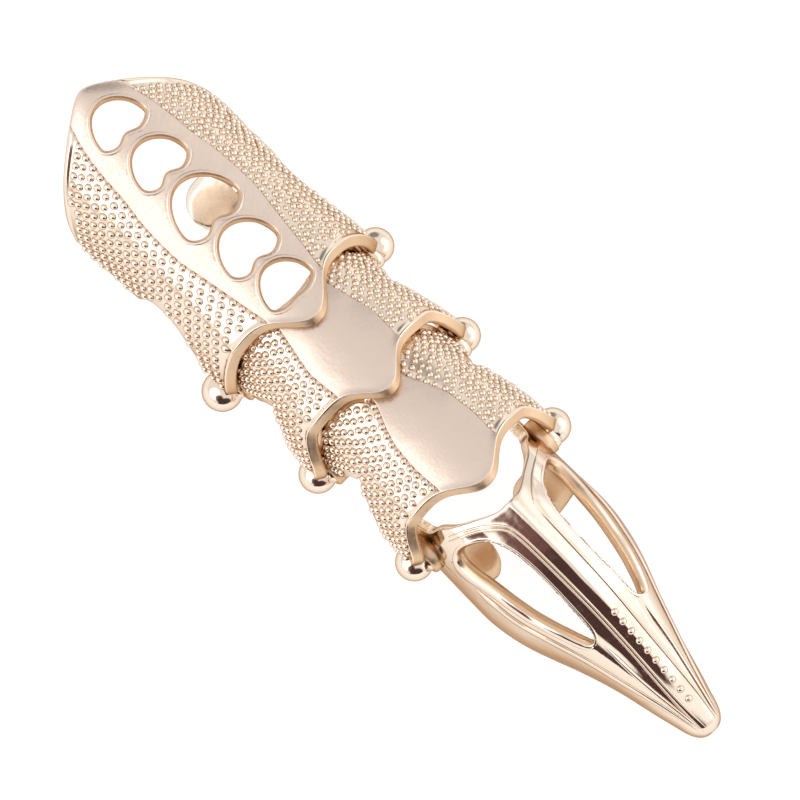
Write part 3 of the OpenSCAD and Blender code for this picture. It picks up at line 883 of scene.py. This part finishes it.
# Ridge that runs up each side of the crest and out along the arm. Columns:
# distance from the third hinge, off centre
RIDGE = [(32.0, 0.75), (28, 1.1), (20, 1.4), (10, 1.65), (6.5, 1.8), (5.0, 2.2), (3.6, 3.5), (2.3, 5.1),
         (1.3, 6.3), (0.7, 7.2), (0.2, 8.4)]
RIDGE_RISE, RIDGE_WIDTH = 0.07, 0.35
# Fine raised lines: from the point along the side bar, and from the point
# to the window's end. Columns as for the ridge
BAR_LINE = [(31.3, 1.35), (27, 2.5), (23, 3.75), (19.5, 4.85), (15.5, 6.2), (11.5, 7.2), (8.5, 7.55),
            (6.2, 7.65)]
FLUTE_LINE = [(31.6, 1.05), (28, 1.75), (24, 2.5), (19.6, 3.15)]
# The crest line is double on the left: its lines' shifts off the ridge
CREST_LINES = ((-0.2, 0.2), (0.0,))
CREST_LINE_RADIUS, SIDE_LINE_RADIUS = 0.13, 0.16
# Share of its radius that a line stands out more, share left at its ends,
# how fast it swells from them, and its steps along and round
LINE_LIFT, LINE_END, LINE_SWELL, LINE_STEPS = 0.35, 0.15, 8, (90, 8)
# The crest falls like a gable to both sides: fall, distance it takes, radius
# of its top, and the share of the half width where it fades and how far
GABLE_FALL, GABLE_REACH, GABLE_ROUND = 0.78, 1.25, 0.283
GABLE_FADE, GABLE_FADE_LENGTH = 0.48, 0.25
# Power of the section's curve, and how much it rises towards the point
FULLNESS, FULLNESS_AHEAD = 2, 0.7
# The hollow: thickness of its sides and roof, how much more they take in
# ahead, and the share of the width that its closed floor covers
SIDE_WALL, ROOF_WALL = 1.25, 1.4
SIDE_TAPER, ROOF_TAPER = 1.1, 2.2
FLOOR_SHARE, FLOOR_RISE = 0.96, 0.02
# Changes along the claw: place from the third hinge, and the length it takes
# to come in after it or to go out before it
FULL_AFTER, NARROW_AFTER, FLOOR_AFTER = (12, 6), (17, 8), (21, 3.5)
RIDGE_BEFORE, GABLE_BEFORE = (31, 3), (29, 9)
# Columns and rows of the claw's grid, whose rows lie closer together towards
# the point by this power
CLAW_GRID, CLAW_SPACING = (150, 180), 1.7


def after(change, x):
    """Share of a change that has come in at x."""
    return smooth((x - change[0]) / change[1])


def before(change, x):
    """Share of a change that is left at x."""
    return smooth((change[0] - x) / change[1])


def claw_section(x):
    """Crest height, half width and lower edge of the claw at a distance from its hinge."""
    return (curve(CLAW_ROWS, x, k) for k in (1, 2, 3))


def ridge_gap(x, y):
    """Distance from the ridge seen from above."""
    p = Vector((x, y))
    gaps = []
    for start, end in zip(RIDGE, RIDGE[1:]):
        a, b = Vector(start), Vector(end)
        t = min(1.0, max(0.0, (p - a).dot(b - a) / (b - a).length_squared))
        gaps.append((p - a.lerp(b, t)).length)
    return min(gaps)


def claw_outer(x, tilt, inward=0.0):
    """Point on the claw's skin at a tilt from the crest."""
    top, half, low = claw_section(x)
    sine, cosine = sin(radians(tilt)), cos(radians(tilt))
    full = FULLNESS + FULLNESS_AHEAD * after(FULL_AFTER, x)
    y, z = half * sine, low + (top - low) * max(0.0, 1 - abs(sine) ** full) ** (1 / full)
    ridge = RIDGE_RISE * exp(-((ridge_gap(x, abs(y)) / RIDGE_WIDTH) ** 2)) * before(RIDGE_BEFORE, x)
    gable = GABLE_FALL * tanh((hypot(y, GABLE_ROUND) - GABLE_ROUND) / GABLE_REACH)
    gable *= (1 - smooth((abs(sine) - GABLE_FADE) / GABLE_FADE_LENGTH)) * before(GABLE_BEFORE, x)
    out = ridge - gable - inward
    return Vector((HINGE_3 + x, y + out * sine, AXIS_HEIGHT + z + out * cosine))


def claw_inner(x, tilt, inward=0.0):
    """Point on the claw's hollow side, which narrows ahead and closes to a floor at the point."""
    top, half, low = claw_section(x)
    narrow, closed = after(NARROW_AFTER, x), after(FLOOR_AFTER, x)
    across = (half - SIDE_WALL - SIDE_TAPER * narrow) * (1 - closed) + FLOOR_SHARE * half * closed
    rise = (top - ROOF_WALL - ROOF_TAPER * narrow - low) * (1 - closed)
    return Vector((HINGE_3 + x, (across + inward) * sin(radians(tilt)),
                   AXIS_HEIGHT + low + FLOOR_RISE + (rise + inward) * cos(radians(tilt))))


def on_claw(x, y, up, side):
    """Point on or above the claw's skin on one side, seen from above at x and y."""
    tilt = tilt_at(y, curve(CLAW_ROWS, x, 2))
    p = claw_outer(x, tilt)
    return Vector((p.x, side * (p.y + up * sin(radians(tilt))), p.z + up * cos(radians(tilt))))


def claw_line(bm, path, side, shift, radius):
    """A fine raised line cast on the claw along a path seen from above, thin at both ends."""
    rows = [(k, *p) for k, p in enumerate(path)]
    last, step = len(rows) - 1, 0.05

    def place(at):
        return Vector((curve(rows, at, 1), curve(rows, at, 2)))

    def point(u, t):
        at = u * last
        way = (place(min(at + step, last)) - place(max(at - step, 0))).normalized()
        size = radius * min(1.0, LINE_END + LINE_SWELL * u * (1 - u))
        turn = 2 * pi * t
        x, y = place(at) + Vector((-way.y, way.x)) * (shift + size * cos(turn))
        p = claw_outer(x, tilt_at(y, curve(CLAW_ROWS, x, 2)), -size * (LINE_LIFT + sin(turn)))
        return Vector((p.x, side * p.y, p.z))

    tube(bm, point, *LINE_STEPS, False, BRIGHT)


def window_outline():
    """A window's outline, its corners eased."""
    n = WINDOW_POINTS
    window = evened([Vector(p) for p in WINDOW], n)
    for _ in range(3):
        window = [(window[i - 1] + window[i] * 2 + window[(i + 1) % n]) / 4 for i in range(n)]
    return window


def claw_sheet(bm, cut):
    """The claw's skin and hollow from a grid, with a window cut on each side."""
    along = bm.verts.layers.float.new("along")
    across = bm.verts.layers.float.new("across")
    cols, rows = CLAW_GRID
    made = bmesh.ops.create_grid(bm, x_segments=cols, y_segments=rows, size=1.0)
    ends = rim_steps()
    rim = len(ends)
    points = {}
    for vert in made["verts"]:
        j = round((vert.co.x + 1) / 2 * cols)
        i = round((vert.co.y + 1) / 2 * rows)
        tilt = 90 * (j - cols / 2) / (cols / 2)
        arch = 0.0
        for _ in range(3):
            arch = curve(ARCH_RIM, curve(CLAW_ROWS, arch, 2) * abs(sin(radians(tilt))), 1)
        if i < rim:
            x, inward = arch + ends[i], rim_drop(ends[i])
        else:
            k = (i - rim + 1) / (rows - rim + 1)
            x = arch + RIM_ROUND + (CLAW_END - arch - RIM_ROUND) * (1 - (1 - k) ** CLAW_SPACING)
            inward = 0.0
        points[i, j] = (x, tilt, inward)
        vert[along], vert[across] = i, j
        vert.co = claw_outer(x, tilt, inward)
    faces = list({f for v in made["verts"] for f in v.link_faces})
    gone = []
    for face in faces:
        c = face.calc_center_median()
        if inside(cut, c.x - HINGE_3, abs(c.y)):
            gone.append(face)
    bmesh.ops.delete(bm, geom=gone, context="FACES")
    kept = [f for f in faces if f.is_valid]
    for vert in made["verts"]:
        if vert.is_valid and vert.is_boundary:
            edge = on_edge([cut], vert.co.x - HINGE_3, abs(vert.co.y))
            if edge:
                tilt = tilt_at(edge.y, curve(CLAW_ROWS, edge.x, 2))
                tilt = tilt if vert.co.y > 0 else -tilt
                points[round(vert[along]), round(vert[across])] = (edge.x, tilt, 0.0)
                vert.co = claw_outer(edge.x, tilt)

    def inner(i, j):
        return claw_inner(*points[round(i), round(j)])

    thicken(bm, kept, inner, along, across)


# Row of beads down the crest: count, first bead's distance from the third
# hinge, distance between beads, radius, height
CREST_BEADS = (10, 18.2, 1.15, 0.42, 0.3)


def crest_beads(bm):
    """The row of beads down the claw's crest to its point."""
    count, first, pitch, radius, height = CREST_BEADS
    for k in range(count):
        x = first + pitch * k
        place = claw_outer(x, 0)
        down = claw_outer(x + 0.2, 0) - place
        bead(bm, place, down.cross(Vector((0, 1, 0))).normalized(), radius, height)


def make_claw():
    """Claw with its windows, raised lines, lugs, band and beads, one casting."""
    bm = bmesh.new()
    window = window_outline()
    claw_sheet(bm, grown_outline(window, CUT_BACK))
    for side, shifts in zip((-1, 1), CREST_LINES):
        opening_rim(bm, window, lambda x, y, up: on_claw(x, y, up, side), WINDOW_RIM, WINDOW_TOP, BRIGHT)
        for shift in shifts:
            claw_line(bm, RIDGE[:-2], side, shift, CREST_LINE_RADIUS)
        claw_line(bm, BAR_LINE, side, 0.0, SIDE_LINE_RADIUS)
        claw_line(bm, FLUTE_LINE, side, 0.0, SIDE_LINE_RADIUS)
    lugs(bm, HINGE_3, CLAW_LUGS)
    # The claw's band takes the finish with painted shade in its colour
    open_band(bm, CLAW_BAND, PAINTED_SHADE_FINISH)
    crest_beads(bm)
    finish_casting(bm, "claw_casting", "claw", "claw_tip")


# The four castings and the rivets

make_base()
make_short_plate(KNUCKLE, "knuckle_casting", "knuckle", "knuckle_plate",
                 KNUCKLE_KNOBS, HINGE_1, KNUCKLE_LUGS)
make_short_plate(MIDDLE, "middle_casting", "middle", "middle_plate",
                 MIDDLE_KNOBS, HINGE_2, MIDDLE_LUGS)
make_claw()

for name, node in frame["nodes"].items():
    if name.startswith("rivet"):
        node.data.materials.clear()
        node.data.materials.append(POLISHED)
